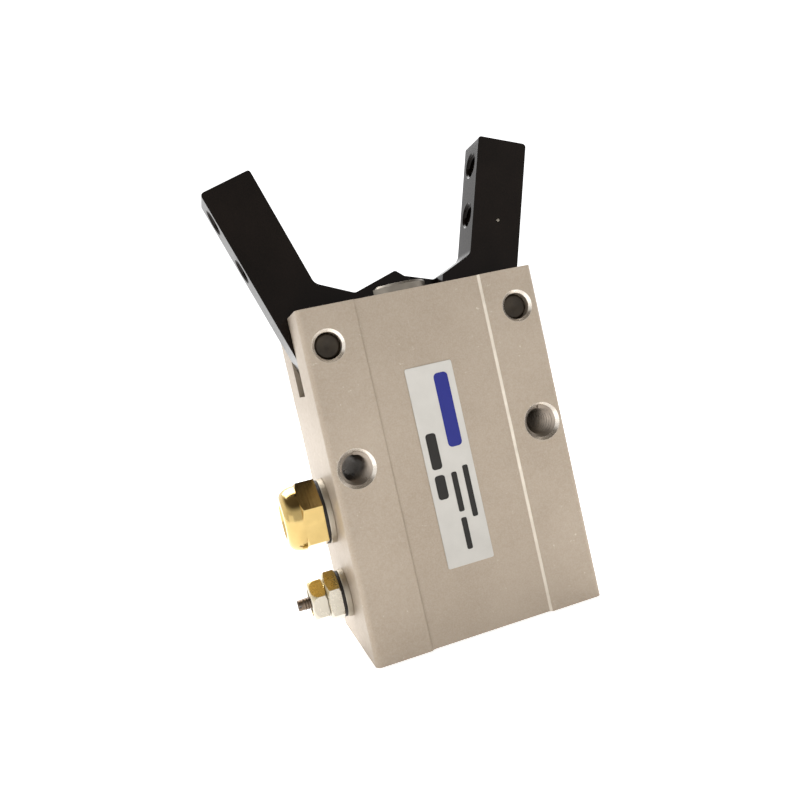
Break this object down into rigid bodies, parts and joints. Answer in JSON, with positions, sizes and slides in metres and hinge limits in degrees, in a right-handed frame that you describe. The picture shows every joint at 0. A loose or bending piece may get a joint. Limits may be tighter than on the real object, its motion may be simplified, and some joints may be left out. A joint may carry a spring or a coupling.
{
  "type": "pneumatic gripper",
  "caption": "Angular two-finger air gripper: block housing with a spring-return piston that swings both fingers through crossed lever arms.",
  "frame": {"origin": "centre of the base, on the cylinder's axis, in the plane the gripper stands on", "axes": "+Z from the base towards the fingertips, +X towards the right finger (the air fittings are on the -X side), -Y out of the front face with the name plate"},
  "size_m": [0.0446, 0.021, 0.0627],
  "materials": {
    "anodised_housing": "fine-blasted and anodised, satin",
    "plain_aluminium": "turned",
    "black_oxide_steel": "black oxide, satin",
    "dark_steel": "hardened and darkened",
    "bright_steel": "ground",
    "brass": "machined",
    "worn_brass": "brass with thin worn nickel plating",
    "nickel_plate": "nickel plated, satin",
    "bronze": "sintered, oily",
    "seal_rubber": "smooth nitrile",
    "urethane": "smooth",
    "magnet": "ferrite, matte",
    "name_plate": "printed film"
  },
  "bodies": {
    "housing_body": {"housing": "anodised_housing", "name_plate": "name_plate", "end_cap": "plain_aluminium", "end_cap_o_ring": "seal_rubber", "end_cap_retaining_ring": "bright_steel", "rod_bush": "bronze", "rod_seal": "seal_rubber", "rod_seal_washer": "bright_steel", "piston_bumper": "urethane", "return_spring": "bright_steel", "inlet_washer": "nickel_plate", "inlet_face_seal": "seal_rubber", "inlet_stub": "brass", "inlet_cap_nut": "brass", "inlet_ferrule": "bronze", "throttle_washer": "nickel_plate", "throttle_face_seal": "seal_rubber", "throttle_body": "worn_brass", "throttle_lock_nut": "worn_brass", "pivot_pin_left": "dark_steel", "pivot_pin_right": "dark_steel"},
    "piston_body": {"piston": "plain_aluminium", "piston_seal": "seal_rubber", "piston_magnet": "magnet", "piston_rod": "bright_steel", "piston_nut": "bright_steel", "joint_pin": "bright_steel", "joint_roller_left": "bright_steel", "joint_roller_right": "bright_steel"},
    "finger_left_body": {"finger_left": "black_oxide_steel", "finger_bush_left": "bronze"},
    "finger_right_body": {"finger_right": "black_oxide_steel", "finger_bush_right": "bronze"},
    "needle_body": {"throttle_needle": "dark_steel"}
  },
  "joints": [
    {"name": "piston_slide", "type": "slide", "parent": "housing_body", "child": "piston_body", "axis": [0, 0, -1], "range_m": [0, 0.00495], "stiffness_N_per_m": 1500, "springref_m": -0.006, "deforming": ["return_spring"]},
    {"name": "finger_left_pivot", "type": "hinge", "parent": "housing_body", "child": "finger_left_body", "pos_m": [-0.01229, 0, 0.03874], "axis": [0, 1, 0], "range_deg": [0, 22.5]},
    {"name": "finger_right_pivot", "type": "hinge", "parent": "housing_body", "child": "finger_right_body", "pos_m": [0.01229, 0, 0.03874], "axis": [0, -1, 0], "range_deg": [0, 22.5]},
    {"name": "needle_turn", "type": "hinge", "parent": "housing_body", "child": "needle_body", "pos_m": [-0.022, 0, 0.0071], "axis": [-1, 0, 0], "range_deg": [0, 720]}
  ],
  "couplings": [
    {"joint": "finger_left_pivot", "follows": "piston_slide", "rad_per_m": 79.33},
    {"joint": "finger_right_pivot", "follows": "piston_slide", "rad_per_m": 79.33}
  ]
}
